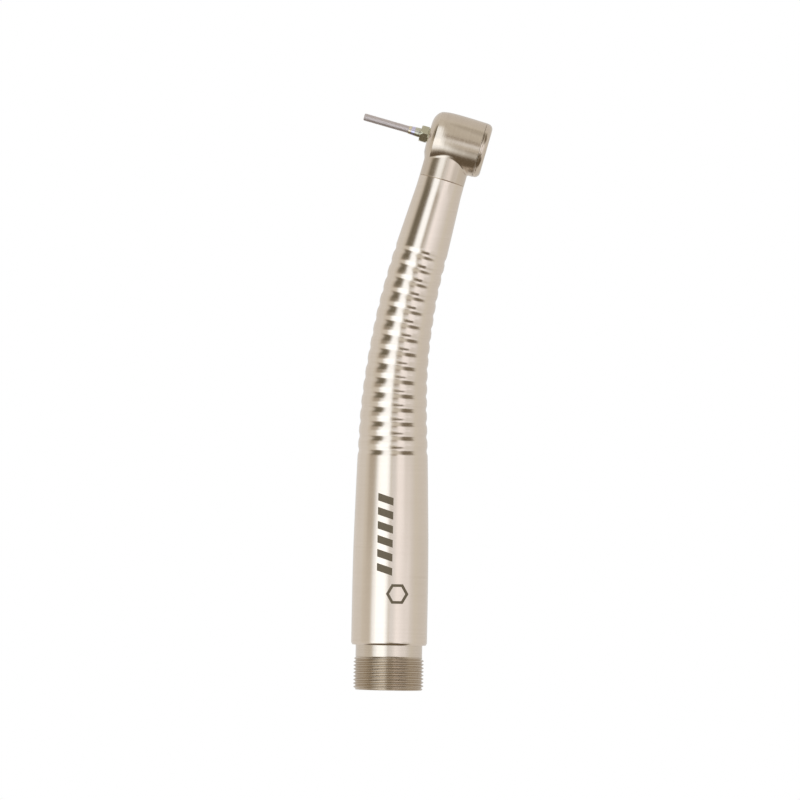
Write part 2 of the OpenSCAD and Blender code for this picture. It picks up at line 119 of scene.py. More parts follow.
# ---------------------------------------------------------------- solids from distance fields
def drum(a, b, h, radius, low, high):
    """A cylinder along h."""
    return np.maximum(np.hypot(a, b) - radius, np.maximum(low - h, h - high))


def ring_field(a, b, h, radius, section):
    """A torus round h."""
    return np.hypot(np.hypot(a, b) - radius, h) - section


def rod_field(x, y, z, start, end, radius):
    """A rod with round ends from one point to another."""
    axis = np.array(end, float) - start
    t = ((x - start[0]) * axis[0] + (y - start[1]) * axis[1] + (z - start[2]) * axis[2]) / (axis @ axis)
    t = np.clip(t, 0, 1)
    return np.sqrt((x - start[0] - t * axis[0]) ** 2 + (y - start[1] - t * axis[1]) ** 2
                   + (z - start[2] - t * axis[2]) ** 2) - radius


def outline_field(r, h, outline):
    """The solid turned from an outline of (radius, height) points that starts and ends on the axis."""
    nearest = np.full(r.shape, np.inf)
    inside = np.zeros(r.shape, bool)
    for (ar, ah), (br, bh) in zip(outline[:-1], outline[1:]):
        er, eh = br - ar, bh - ah
        t = np.clip(((r - ar) * er + (h - ah) * eh) / (er * er + eh * eh), 0, 1)
        nearest = np.minimum(nearest, (r - ar - t * er) ** 2 + (h - ah - t * eh) ** 2)
        if eh:
            inside ^= ((ah > h) != (bh > h)) & (r < ar + (h - ah) * er / eh)
    return np.where(inside, -1.0, 1.0) * np.sqrt(nearest)


def joined(a, b, fillet):
    """The union of two fields, with a fillet where they meet."""
    t = np.clip(0.5 + 0.5 * (b - a) / fillet, 0, 1)
    return b + (a - b) * t - fillet * t * (1 - t)


def cut(a, b, edge):
    """The first field less the second, with the edges rounded."""
    return -joined(-a, b, edge)


def common(a, b, edge):
    """What two fields share, with the edges rounded."""
    return -joined(-a, -b, edge)


def gradient(field, points, reach):
    shifts = reach * np.eye(3)
    return np.stack([field(*(points + d).T) - field(*(points - d).T) for d in shifts], 1) / (2 * reach)


def crossed_edges(value, axis):
    """Which edges of the grid along an axis the surface crosses, where on them, and which start inside."""
    ends = value.shape[axis]
    start = value.take(range(ends - 1), axis)
    end = value.take(range(1, ends), axis)
    crossed = (start < 0) != (end < 0)
    return crossed, np.where(crossed, start / np.where(crossed, start - end, 1), 0), start < 0


def other_axes(axis):
    return [(axis + 1) % 3, (axis + 2) % 3]


def cell_crossings(edges, cells):
    """How many crossed edges each cell of the grid has, and the sum of their places in it."""
    crossings = np.zeros(cells)
    places = np.zeros((3, *cells))
    for axis, (crossed, share, _) in enumerate(edges):
        others = other_axes(axis)
        for shift in itertools.product((0, 1), repeat=2):
            window = [slice(None)] * 3
            for o, d in zip(others, shift):
                window[o] = slice(d, d + cells[o])
            seen = crossed[tuple(window)]
            crossings += seen
            places[axis] += share[tuple(window)]
            for o, d in zip(others, shift):
                places[o] += d * seen
    return crossings, places


def cell_quads(axis, crossed, outward, ids):
    """A quad round each crossed edge along an axis, between the four cells that share the edge."""
    others = other_axes(axis)
    at = np.argwhere(crossed)
    for o in others:
        at = at[(at[:, o] > 0) & (at[:, o] < ids.shape[o])]
    corners = []
    for shift in ((1, 1), (0, 1), (0, 0), (1, 0)):
        cell = at.copy()
        for o, d in zip(others, shift):
            cell[:, o] -= d
        corners.append(ids[tuple(cell.T)])
    quad = np.stack(corners, 1)
    flip = ~outward[tuple(at.T)]
    quad[flip] = quad[flip][:, ::-1]
    return quad


def settled(field, points, step):
    """The points moved onto the field's surface, and their normals."""
    reach = step * 0.2
    for _ in range(4):
        slope = gradient(field, points, reach)
        move = field(*points.T) / np.maximum((slope ** 2).sum(1), 0.2)
        points = points - np.clip(move, -step / 2, step / 2)[:, None] * slope
    slope = gradient(field, points, reach)
    return points, slope / np.linalg.norm(slope, axis=1)[:, None]


def net(field, low, high, step):
    """A closed mesh of quads where the field is zero: its points, faces and normals."""
    low = np.array(low, float)
    counts = np.ceil((np.array(high, float) - low) / step).astype(int) + 1
    axes = [low[i] + step * np.arange(counts[i]) for i in range(3)]
    value = field(*np.meshgrid(*axes, indexing="ij"))
    edges = [crossed_edges(value, axis) for axis in range(3)]
    crossings, places = cell_crossings(edges, counts - 1)
    used = crossings > 0
    ids = np.full(used.shape, -1)
    ids[used] = np.arange(used.sum())
    points = low + step * (np.argwhere(used) + (places[:, used] / crossings[used]).T)
    faces = [cell_quads(axis, crossed, outward, ids) for axis, (crossed, _, outward) in enumerate(edges)]
    points, normals = settled(field, points, step)
    return points, np.concatenate(faces), normals


def field_piece(name, field, low, high, step):
    """A piece in the head's frame from a field in millimetres."""
    points, faces, normals = net(field, low, high, step)
    place = np.array(HEAD_FRAME)
    points = points * MM @ place[:3, :3].T + place[:3, 3]
    return piece(name, points, faces, normals @ place[:3, :3].T)


# ---------------------------------------------------------------- handle
SLEEVE_REAR = 10.0                              # millimetres from the rear face
SLEEVE_EDGE = 0.28, 0.55                        # depth and length of its rear edge's rounding
SLEEVE_OUTER = [(10, 8.43), (15, 8.43), (21, 8.43), (32, 8.34), (42, 8.1), (51, 7.84), (63, 7.36),
                (75.5, 6.68), (84, 6.36), (90, 6.12), (98, 5.85), (102, 5.66), (109, 5.3), (112, 5.14),
                (SEAM_S / MM, 5.1)]
SLEEVE_INNER = [(10, 7.5), (24, 7.5), (26, 7.2), (52, 6.65), (75, 5.5), (97, 4.8), (107, 4.5),
                (SEAM_S / MM, 4.5)]
GRIPS = 15                                      # grooves cut round the sleeve for the fingers
GRIP_START, GRIP_PITCH = 53.2, 3.15
GRIP_W, GRIP_DEPTH = 3.15, 0.22
SLEEVE_SIDES = 144
SEAM_CHAMFER = 0.1


def on_centreline(s):
    """The centreline's point and its sideways direction, s metres from the rear face."""
    turned = BEND * min(1, max(0, (s - STRAIGHT_L) / ARC_L))
    s = float(s)
    point = Vector((BEND_R * (1 - math.cos(turned)), 0, min(s, STRAIGHT_L) + BEND_R * math.sin(turned)))
    along = Vector((math.sin(turned), 0, math.cos(turned)))
    return point + along * max(0, s - STRAIGHT_L - ARC_L), Vector((along.z, 0, -along.x))


def grip_depth(s):
    """Depth of the grip grooves below the sleeve's outline at s millimetres."""
    nearest = min(GRIPS - 1, max(0, round((s - GRIP_START) / GRIP_PITCH)))
    off = abs(s - GRIP_START - nearest * GRIP_PITCH) / (GRIP_W / 2)
    return GRIP_DEPTH * math.cos(off * math.pi / 2) ** 4 if off < 1 else 0


def sleeve_outline():
    """Stations and radii round the sleeve's wall, in millimetres: outside up, then inside down."""
    outer = curve_through(SLEEVE_OUTER)
    end = SEAM_S / MM
    depth, length = SLEEVE_EDGE
    edge = [(SLEEVE_REAR + length * t, outer(SLEEVE_REAR) - depth * (1 - t) ** 1.4)
            for t in np.linspace(0, 1, 9)]
    edge.insert(0, (SLEEVE_REAR, outer(SLEEVE_REAR) - depth - 0.12))
    first, last = GRIP_START - GRIP_PITCH / 2, GRIP_START + (GRIPS - 0.5) * GRIP_PITCH
    stations = np.concatenate([np.linspace(SLEEVE_REAR + length + 0.4, first, 42),
                               np.linspace(first, last, GRIPS * 24 + 1)[1:],
                               np.linspace(last, end - SEAM_CHAMFER, 16)[1:]])
    walls = [(s, outer(s) - grip_depth(s)) for s in stations]
    rim = [(end, outer(end) - SEAM_CHAMFER)]
    return edge + walls + rim + SLEEVE_INNER[::-1]


def handle_shell():
    points = []
    outline = sleeve_outline()
    for s, r in outline:
        centre, side = on_centreline(s * MM)
        radius = float(r * MM)
        for j in range(SLEEVE_SIDES):
            turn = TURN * j / SLEEVE_SIDES
            points.append(centre + radius * (math.cos(turn) * side + math.sin(turn) * SIDE))
    made = piece("handle_shell", points, ring_faces(len(outline), SLEEVE_SIDES, True), sharp_angle=35)
    sunk = made.data.attributes.new("grip", "FLOAT", "POINT")
    share = np.repeat([grip_depth(s) / GRIP_DEPTH for s, _ in outline], SLEEVE_SIDES)
    sunk.data.foreach_set("value", share.astype(np.float32))
    return made


# ---------------------------------------------------------------- back end
THREAD_R = mount("rear_thread")["dims"]["r_mm"]
THREAD_PITCH = 0.794                            # 32 threads to the inch
THREAD_DEPTH = 0.45
THREAD_FLAT = 0.06                              # share of the pitch that is flat at root and crest
THREAD_START, THREAD_END = 0.2, 7.3
THREAD_LEAD = 0.7                               # length over which the thread rises and runs out
COLLAR_R = 7.4
SOCKET_R = mount("hose_socket")["dims"]["r_mm"]
SOCKET_DEPTH = 4.2
CHAMBER_R, CHAMBER_END = 6.0, 12.0
SPIGOT_BORE_R, SPIGOT_END = 5.4, 22.0
GROOVE_Z, GROOVE_AT, GROOVE_R = 12.5, 7.2, 0.28
BACK_SIDES = 192


def thread_radius(z, turn):
    """Outer radius of the thread at height z, for a share of a turn."""
    t = ((z - THREAD_START) / THREAD_PITCH - turn) % 1
    flank = min(1, max(0, (abs(t - 0.5) * 2 - THREAD_FLAT) / (1 - 2 * THREAD_FLAT)))
    flank = flank * flank * (3 - 2 * flank)
    lead = min(1, max(0, z / THREAD_LEAD)) * min(1, max(0, (THREAD_END - z) / THREAD_LEAD))
    root = THREAD_R - THREAD_DEPTH
    return root + THREAD_DEPTH * flank * lead ** 0.5


def back_end_outline():
    """Outline as (radius, height, on the thread) in millimetres."""
    samples = np.arange(0.1, THREAD_END + 0.01, THREAD_PITCH / 24)
    thread = [(0, z, True) for z in samples]
    groove = [(GROOVE_AT - GROOVE_R * math.sin(a), GROOVE_Z - GROOVE_R * math.cos(a), False)
              for a in np.linspace(-0.75, math.pi + 0.75, 13)]
    front = [(COLLAR_R, SPIGOT_END - 0.3, False), (COLLAR_R - 0.3, SPIGOT_END, False)]
    inside = [(SPIGOT_BORE_R, SPIGOT_END, False), (SPIGOT_BORE_R, CHAMBER_END, False),
              (CHAMBER_R, CHAMBER_END, False), (CHAMBER_R, SOCKET_DEPTH, False),
              (SOCKET_R, SOCKET_DEPTH, False), (SOCKET_R, 0.25, False), (SOCKET_R + 0.25, 0, False)]
    rim = [(THREAD_R - THREAD_DEPTH - 0.1, 0, False)]
    collar = [(COLLAR_R - 0.05, THREAD_END + 0.1, False), (COLLAR_R, THREAD_END + 0.2, False),
              (COLLAR_R, THREAD_END + 0.3, False), (COLLAR_R, GROOVE_Z - 1, False)]
    return rim + thread + collar + groove + front + inside


def back_end_turned():
    outline = back_end_outline()
    points = []
    for r, z, threaded in outline:
        for j in range(BACK_SIDES):
            turn = j / BACK_SIDES
            radius = thread_radius(z, turn) if threaded else r
            angle = TURN * turn
            points.append((radius * MM * math.cos(angle), radius * MM * math.sin(angle), z * MM))
    return piece("back_end_turned", points, ring_faces(len(outline), BACK_SIDES, True), sharp_angle=44)


# ---------------------------------------------------------------- head, in millimetres in its own frame
HEAD_R = 6.25
NOSE_Z = 5.65
CAP_SEAT = -6.2                                 # face on which the cap's rim stands
CAP_END = -4.2
CAP_BORE_R = 5.35
TURBINE_R, TURBINE_END = 4.6, 2.2
POCKET_R, POCKET_END = 3.45, 4.58
NOSE_HOLE_R = 1.95
NECK_R = 5.1
SADDLE_FILLET = 0.28
SPIGOT_R, SPIGOT_FRONT = 4.4, 14.5
SOCKETS_FROM = 12.7                             # where the seats of the tubes begin
DRIVE_SEAT_R, EXHAUST_SEAT_R, SMALL_SEAT_R = 1.32, 1.82, 0.97
DRIVE_BORE_R, EXHAUST_BORE_R = 1.08, 1.58       # air passages between the turbine and the tubes
RING_SEAT_R = 0.3
SEAL_X, SEAL_R = 11.0, 0.27
DRIVE_Y = mount("drive_air_port")["pos_m"][1] / MM
SMALL_Z = mount("chip_air_port")["pos_m"][0] / MM
PORT_X, PORT_Y, PORT_R = 3.4, 2.1, 0.42
PORT_DEPTH = 1.5
WATER_BEND = (6.5, 0, SMALL_Z)
AIR_BEND, AIR_CROSS = (9.5, 0, -SMALL_Z), (8, -0.9, 2.2)
CHANNEL_R, DRILLING_R = 0.35, 0.3
EDGE = 0.12                                     # rounding of the machined edges
HEAD_STEP = 0.115                               # grid of the head's mesh
HEAD_BOX = (-14.9, -6.6, -6.6), (6.6, 6.6, 6.1)


def nose_curve():
    """The domed nose, from the crease with the head's side to the flat round the chuck."""
    dome = curve_through([(2.5, NOSE_Z), (3.5, NOSE_Z - 0.07), (4.3, NOSE_Z - 0.27), (5, NOSE_Z - 0.63),
                          (5.5, NOSE_Z - 1.05), (HEAD_R - 0.4, NOSE_Z - 1.55)])
    return [(r, dome(r)) for r in np.linspace(HEAD_R - 0.4, 2.5, 16)]


def side_curve():
    """The head's side, which swells a little between the cap and the crease."""
    side = curve_through([(CAP_SEAT, HEAD_R - 0.07), (-3, HEAD_R), (1, HEAD_R), (2, HEAD_R - 0.04),
                          (3, HEAD_R - 0.15), (3.7, HEAD_R - 0.29), (NOSE_Z - 1.55, HEAD_R - 0.4)])
    rim = [(HEAD_R - 0.12, CAP_SEAT)]
    return rim + [(side(z), z) for z in np.linspace(CAP_SEAT + 0.05, NOSE_Z - 1.55, 22)]


def tube_bores(y, z, down):
    """Seats of the four tubes in the spigot, and the air passages that lead on from them."""
    far = SPIGOT_FRONT + 1
    return [
        drum(y - DRIVE_Y, z, down, DRIVE_BORE_R, TURBINE_R / 2, SOCKETS_FROM + 0.1),
        drum(y + DRIVE_Y, z, down, EXHAUST_BORE_R, TURBINE_R / 2, SOCKETS_FROM + 0.1),
        drum(y - DRIVE_Y, z, down, DRIVE_SEAT_R, SOCKETS_FROM, far),
        drum(y + DRIVE_Y, z, down, EXHAUST_SEAT_R, SOCKETS_FROM, far),
        drum(y, z - SMALL_Z, down, SMALL_SEAT_R, SOCKETS_FROM, far),
        drum(y, z + SMALL_Z, down, SMALL_SEAT_R, SOCKETS_FROM, far),
        drum(y, z - SMALL_Z, down, CHANNEL_R, WATER_BEND[0], SOCKETS_FROM + 0.1),
        drum(y, z + SMALL_Z, down, CHANNEL_R, AIR_BEND[0], SOCKETS_FROM + 0.1),
    ]


def spray_bores(y, z, down):
    """Drillings of the spray water and the chip air, down to their ports on the nose."""
    floor = NOSE_Z - PORT_DEPTH
    return [
        rod_field(down, y, z, WATER_BEND, (PORT_X, PORT_Y, floor), DRILLING_R),
        rod_field(down, y, z, AIR_BEND, AIR_CROSS, DRILLING_R),
        rod_field(down, y, z, AIR_CROSS, (PORT_X, -PORT_Y, floor), DRILLING_R),
        drum(down - PORT_X, y - PORT_Y, z, PORT_R, floor, NOSE_Z + 1),
        drum(down - PORT_X, y + PORT_Y, z, PORT_R, floor, NOSE_Z + 1),
    ]


def head_hollows(x, y, z, down):
    """All that is cut out of the head, with the bores of the turbine and the bearing first."""
    return [
        drum(x, y, z, CAP_BORE_R, CAP_SEAT - 1, CAP_END),
        drum(x, y, z, TURBINE_R, CAP_END - 1, TURBINE_END),
        drum(x, y, z, POCKET_R, TURBINE_END - 1, POCKET_END),
        drum(x, y, z, NOSE_HOLE_R, POCKET_END - 1, NOSE_Z + 1),
        ring_field(x, y, z - (TURBINE_END + POCKET_END) / 2, POCKET_R, RING_SEAT_R),
        ring_field(y, z, down - SEAL_X, SPIGOT_R - 0.15, SEAL_R),
        *tube_bores(y, z, down), *spray_bores(y, z, down),
    ]


def head_field(x, y, z):
    down = -x
    outline = [(0, CAP_SEAT)] + side_curve() + nose_curve()[1:] + [(0, NOSE_Z)]
    solid = outline_field(np.hypot(x, y), z, outline)
    neck = common(drum(y, z, down, NECK_R, 0, SPIGOT_FRONT), down - SEAM_L / MM, EDGE)
    solid = joined(solid, neck, SADDLE_FILLET)
    spigot = drum(y, z, down, SPIGOT_R, SEAM_L / MM - 0.5, SPIGOT_FRONT)
    solid = joined(solid, spigot, EDGE / 2)
    return cut(solid, np.minimum.reduce(head_hollows(x, y, z, down)), EDGE)


def head_shell():
    return field_piece("head_shell", head_field, *HEAD_BOX, HEAD_STEP)


# ---------------------------------------------------------------- cap
BACK_Z = -7.7
CAP_R = HEAD_R - 0.07
CAP_ROUND = 1.2
CAP_GAP = 0.03
SKIRT_R = 5.25
CAP_POCKET = -5.7
DRIFT_R = mount("cap_drift_hole")["dims"]["r_mm"]
NOTCH_START, NOTCH_END, NOTCH_W, NOTCH_DEPTH = 2.4, 4.0, 1.0, 0.5
RING_Z, RING_AT, RING_R = -4.61, 3.48, 0.3
CAP_SEAL_Z, CAP_SEAL_AT, CAP_SEAL_R = CAP_SEAT + 0.45, CAP_BORE_R - 0.2, 0.21
CAP_STEP = 0.085
CAP_BOX = (-6.5, -6.5, -7.95), (6.5, 6.5, -3.95)


def cap_field(x, y, z):
    r = np.hypot(x, y)
    corner = [(CAP_R - 0.05 - CAP_ROUND * (1 - math.sin(a)), BACK_Z + CAP_ROUND * (1 - math.cos(a)))
              for a in np.linspace(0, math.pi / 2, 13)]
    dish = [(0, BACK_Z + 0.04), (4.4, BACK_Z)]
    solid = outline_field(r, z, dish + corner + [(CAP_R, CAP_SEAT - CAP_GAP), (0, CAP_SEAT - CAP_GAP)])
    solid = np.minimum(solid, drum(x, y, z, SKIRT_R, CAP_SEAT - 0.3, CAP_END - 0.05))
    hollows = [drum(x, y, z, POCKET_R, CAP_POCKET, 0), drum(x, y, z, DRIFT_R, BACK_Z - 1, 0),
               ring_field(x, y, z - RING_Z, RING_AT, RING_R),
               ring_field(x, y, z - CAP_SEAL_Z, CAP_SEAL_AT, CAP_SEAL_R)]
    for along, across in ((x, y), (y, x)):
        slot = np.maximum(np.abs(across) - NOTCH_W / 2, z - BACK_Z - NOTCH_DEPTH)
        hollows.append(np.maximum(slot, np.maximum(NOTCH_START - np.abs(along), np.abs(along) - NOTCH_END)))
    return cut(solid, np.minimum.reduce(hollows), EDGE)


def cap_shell():
    return field_piece("cap_shell", cap_field, *CAP_BOX, CAP_STEP)


# ---------------------------------------------------------------- chuck and bur
NUT_FLATS, NUT_TOP, NUT_FOOT = 3.5, NOSE_Z + 1.85, NOSE_Z + 0.15
NUT_NECK_R, NUT_NECK_Z = 1.5, 5.25
NUT_SKIRT_R, NUT_SKIRT_Z = 1.3, 3.8
COLLET_R, COLLET_TIP_R = 1.05, 0.88
COLLET_REAR, COLLET_SHOULDER, COLLET_FRONT = -3.5, NOSE_Z + 2.3, NOSE_Z + 4.6
COLLET_BORE_R = 0.82
SLIT_W = 0.16
SHANK_R = 0.8
BLANK_LEAD, BLANK_MARK = 0.15, 0.2
BLANK_L = 20
BLANK_TIP = NOSE_Z + 14.9
PAINTED_HIGHLIGHT_BAND = 8.8, 9.6                                # the collet's bluish band of painted highlight, along the bur's axis
FINE_EDGE = 0.05
NUT_STEP, COLLET_STEP = 0.05, 0.045
NUT_BOX = (-2.2, -2.2, 3.6), (2.2, 2.2, 7.7)
COLLET_BOX = (-1.2, -1.2, -3.7), (1.2, 1.2, 10.4)


def nut_field(x, y, z):
    flats = [np.abs(x * math.cos(a) + y * math.sin(a)) - NUT_FLATS / 2
             for a in (0, math.pi / 3, 2 * math.pi / 3)]
    hexagon = np.maximum(np.maximum.reduce(flats), np.maximum(NUT_FOOT - z, z - NUT_TOP))
    crown = np.hypot(x, y) - NUT_FLATS * 0.72 + (z - NUT_FOOT) * NUT_FLATS * 0.2 / (NUT_TOP - NUT_FOOT)
    body = common(hexagon, crown, FINE_EDGE)
    body = np.minimum(body, drum(x, y, z, NUT_NECK_R, NUT_NECK_Z, NUT_FOOT + 0.2))
    body = np.minimum(body, drum(x, y, z, NUT_SKIRT_R, NUT_SKIRT_Z, NUT_FOOT + 0.2))
    return cut(body, np.hypot(x, y) - COLLET_R - 0.05, FINE_EDGE)


def collet_field(x, y, z):
    r = np.hypot(x, y)
    cone = (COLLET_R - COLLET_TIP_R) / (COLLET_FRONT - COLLET_SHOULDER)
    wall = np.maximum(r - COLLET_R, r - COLLET_R + (z - COLLET_SHOULDER) * cone)
    body = common(wall, np.maximum(COLLET_REAR - z, z - COLLET_FRONT), FINE_EDGE)
    slits = np.maximum(np.minimum(np.abs(x), np.abs(y)) - SLIT_W / 2, NUT_SKIRT_Z - z)
    return np.maximum(np.maximum(body, COLLET_BORE_R - r), -slits)


def nut_ground():
    return field_piece("chuck_nut_ground", nut_field, *NUT_BOX, NUT_STEP)


def collet_split():
    return field_piece("collet_split", collet_field, *COLLET_BOX, COLLET_STEP)


def bur_ground():
    """The blank: a ground rod with chamfered ends and a centre mark in each."""
    rear, tip = BLANK_TIP - BLANK_L, BLANK_TIP
    outline = [(0.03, rear + BLANK_MARK), (BLANK_MARK, rear), (SHANK_R - BLANK_LEAD, rear),
               (SHANK_R, rear + BLANK_LEAD), (SHANK_R, rear + BLANK_L / 2), (SHANK_R, tip - BLANK_LEAD),
               (SHANK_R - BLANK_LEAD, tip), (BLANK_MARK, tip), (0.03, tip - BLANK_MARK)]
    return revolve("bur_ground", [(r * MM, h * MM) for r, h in outline], 64, HEAD_FRAME)


# ---------------------------------------------------------------- etched decoration
MARK_PROUD, MARK_SUNK = 0.015, 0.03
BAR_COUNT, BAR_FIRST, BAR_PITCH = 6, 25.4, 3.1
BAR_THICK, BAR_LEFT, BAR_RIGHT, BAR_SLANT = 1.7, -3.0, 0.4, 1.1
HEX_Z, HEX_X, HEX_R, HEX_WALL = 21.4, 1.6, 2.5, 0.7


def on_handle_front(x, z, proud):
    """The point of the straight handle's side wall over x and z, in millimetres."""
    r = float(curve_through(SLEEVE_OUTER)(z)) + proud
    turn = math.asin(x / r)
    return Vector((r * math.sin(turn), -r * math.cos(turn), z)) * MM


def etched_patch(corners):
    """A thin curved plate over four corners (x, z) on the handle's side: its points and faces."""
    across, along = 6, 8
    points = []
    for proud in (MARK_PROUD, -MARK_SUNK):
        for i in range(along + 1):
            for j in range(across + 1):
                u, v = j / across, i / along
                low = Vector(corners[0]).lerp(Vector(corners[1]), u)
                high = Vector(corners[3]).lerp(Vector(corners[2]), u)
                x, z = low.lerp(high, v)
                points.append(on_handle_front(x, z, proud))
    row, sheet = across + 1, (across + 1) * (along + 1)
    faces = []
    for i in range(along):
        for j in range(across):
            a = i * row + j
            faces.append((a, a + 1, a + row + 1, a + row))
            faces.append(tuple(sheet + k for k in (a + row, a + row + 1, a + 1, a)))
    rim = list(range(row)) + [i * row + across for i in range(1, along + 1)] \
        + [along * row + j for j in range(across - 1, -1, -1)] + [i * row for i in range(along - 1, 0, -1)]
    for a, b in zip(rim, rim[1:] + rim[:1]):
        faces.append((b, a, a + sheet, b + sheet))
    return points, faces


def decoration():
    """A column of slanting bars and an open hexagon."""
    plates = []
    for i in range(BAR_COUNT):
        z = BAR_FIRST + i * BAR_PITCH
        plates.append([(BAR_LEFT, z + BAR_SLANT), (BAR_RIGHT, z),
                       (BAR_RIGHT, z + BAR_THICK), (BAR_LEFT, z + BAR_THICK + BAR_SLANT)])
    for i in range(6):
        a, b = TURN * i / 6, TURN * (i + 1) / 6
        ring = [(HEX_R, a), (HEX_R, b), (HEX_R - HEX_WALL, b), (HEX_R - HEX_WALL, a)]
        plates.append([(HEX_X + r * math.cos(t), HEX_Z + r * math.sin(t)) for r, t in ring][::-1])
    points, faces = [], []
    for corners in plates:
        more, made = etched_patch(corners)
        faces += [tuple(len(points) + k for k in face) for face in made]
        points += more
    return piece("handle_decoration", points, faces, sharp_angle=30)


# ---------------------------------------------------------------- materials
def add(tree, kind, inputs=(), **settings):
    """A new shader node. Each of its inputs is either linked from a socket or set to a value."""
    made = tree.nodes.new("ShaderNode" + kind)
    for name, value in settings.items():
        setattr(made, name, value)
    for name, value in dict(inputs).items():
        if isinstance(value, bpy.types.NodeSocket):
            tree.links.new(value, made.inputs[name])
        else:
            made.inputs[name].default_value = value
    return made


def scaled(tree, value, low, high, start=0.0, end=1.0):
    """value between low and high spread over start to end."""
    ranged = add(tree, "MapRange", {"Value": value, 1: low, 2: high, 3: start, 4: end})
    return ranged.outputs[0]


def noise(tree, coords, scale, detail=3.0, rough=0.5):
    """Noise with a scale for each axis, per metre."""
    spread = add(tree, "Mapping", {"Vector": coords, "Scale": scale})
    return add(tree, "TexNoise", {"Vector": spread.outputs[0], "Scale": 1.0, "Detail": detail,
                                  "Roughness": rough}).outputs[0]


def product(tree, a, b):
    return add(tree, "Math", {0: a, 1: b}, operation="MULTIPLY").outputs[0]


def blended(tree, share, under, over):
    """One colour over another, by a share from zero to one."""
    return add(tree, "Mix", {0: share, 6: under, 7: over}, data_type="RGBA").outputs[2]


def shades(tree, value, dark, light):
    """A colour between two, by a value from zero to one."""
    return blended(tree, value, (*dark, 1), (*light, 1))


def bump(tree, height, depth, onto=None):
    inputs = {"Height": height, "Strength": 1.0, "Distance": depth}
    if onto:
        inputs["Normal"] = onto
    return add(tree, "Bump", inputs).outputs[0]


def shader_of(tree):
    return next(n for n in tree.nodes if n.type == "BSDF_PRINCIPLED")


def looks(name, in_head=False):
    """A new material: itself, its node tree, its shader and its coordinates in metres."""
    made = bpy.data.materials.new(name)
    made.use_nodes = True
    tree = made.node_tree
    shader = shader_of(tree)
    coords = add(tree, "TexCoord").outputs["Object"]
    if in_head:
        place = add(tree, "Mapping", {"Vector": coords, "Location": HEAD,
                                      "Rotation": HEAD_FRAME.to_euler()}, vector_type="TEXTURE")
        coords = place.outputs[0]
    return made, tree, shader, coords


def metal(name, dark, light, rough, lines=0.0, cloud=0.4e-6, in_head=False, line_pitch=0.16 * MM):
    """Polished or turned metal. lines is the depth of the fine turning lines across the piece's axis."""
    made, tree, shader, coords = looks(name, in_head)
    shader.inputs["Metallic"].default_value = 1.0
    broad = noise(tree, coords, (90, 90, 60), 2.0)
    fine = noise(tree, coords, (2600, 2600, 2600), 3.0)
    turned = noise(tree, coords, (40, 40, 1 / line_pitch), 2.0, 0.7)
    link = tree.links.new
    tone = scaled(tree, add(tree, "Math", {0: broad, 1: turned}, operation="ADD").outputs[0], 0.7, 1.3)
    link(shades(tree, tone, dark, light), shader.inputs["Base Color"])
    link(scaled(tree, fine, 0.3, 0.7, rough * 0.85, rough * 1.15), shader.inputs["Roughness"])
    surface = bump(tree, fine, cloud)
    if lines:
        surface = bump(tree, turned, lines, surface)
    link(surface, shader.inputs["Normal"])
    return made


def sleeve_steel():
    """Satin steel, duller in the floors of the grip grooves where fingers do not rub it."""
    made = metal("satin_steel", (0.745, 0.645, 0.53), (0.795, 0.695, 0.58), 0.19, lines=0.35e-6)
    tree = made.node_tree
    shader = shader_of(tree)
    sunk = add(tree, "Attribute", attribute_name="grip").outputs["Fac"]
    rough = shader.inputs["Roughness"].links[0].from_socket
    rubbed = scaled(tree, sunk, 0.0, 1.0, 0.9, 1.1)
    tree.links.new(product(tree, rough, rubbed), shader.inputs["Roughness"])
    return made


def place_of(tree):
    """The coordinates that a metal's noises were made from."""
    spread = next(n for n in tree.nodes if n.type == "MAPPING" and n.vector_type == "POINT")
    return spread.inputs["Vector"].links[0].from_socket


def tinted(made, share, colour):
    """Mix a colour over a metal's own, by a share from zero to one."""
    tree = made.node_tree
    base = shader_of(tree).inputs["Base Color"]
    tree.links.new(blended(tree, share, base.links[0].from_socket, (*colour, 1)), base)


def back_end_steel():
    """Turned steel, painted darker along the thread as painted shade for its grooves."""
    made = metal("turned_steel", (0.68, 0.59, 0.48), (0.75, 0.655, 0.54), 0.2, cloud=0.2e-6, lines=0.35e-6)
    tree = made.node_tree
    height = add(tree, "SeparateXYZ", {0: place_of(tree)}).outputs["Z"]
    # painted shade: the threaded length is tinted darker to stand for the shade in the thread's grooves
    share = scaled(tree, height, THREAD_END * MM, (THREAD_END + 0.3) * MM, 0.75, 0.0)
    tinted(made, share, (0.53, 0.445, 0.34))
    return made


def collet_steel():
    """Olive steel with a straw tip, and a bluish-white band of painted highlight on its cone."""
    made = metal("collet_steel", (0.56, 0.54, 0.41), (0.70, 0.67, 0.53), 0.26, lines=1e-6, in_head=True)
    tree = made.node_tree
    height = add(tree, "SeparateXYZ", {0: place_of(tree)}).outputs["Z"]
    start, end = PAINTED_HIGHLIGHT_BAND
    tinted(made, scaled(tree, height, (end - 0.1) * MM, (end + 0.15) * MM), (0.84, 0.73, 0.52))
    # painted highlight: a bluish-white band where the light glints on the cone, painted into the colour
    inside = product(tree, scaled(tree, height, (start - 0.1) * MM, (start + 0.1) * MM),
                     scaled(tree, height, (end - 0.1) * MM, (end + 0.1) * MM, 1.0, 0.0))
    tinted(made, inside, (0.72, 0.68, 0.86))
    return made


def grained(tree, shader, grain, dark, light, rough, depth):
    """Link a surface's colour, roughness and relief to one noise."""
    tree.links.new(shades(tree, grain, dark, light), shader.inputs["Base Color"])
    tree.links.new(scaled(tree, grain, 0.3, 0.7, *rough), shader.inputs["Roughness"])
    tree.links.new(bump(tree, grain, depth), shader.inputs["Normal"])


def rubber(name, dark, light):
    made, tree, shader, coords = looks(name)
    grain = noise(tree, coords, (3000, 3000, 3000), 3.0)
    grained(tree, shader, grain, dark, light, (0.5, 0.65), 3e-6)
    return made


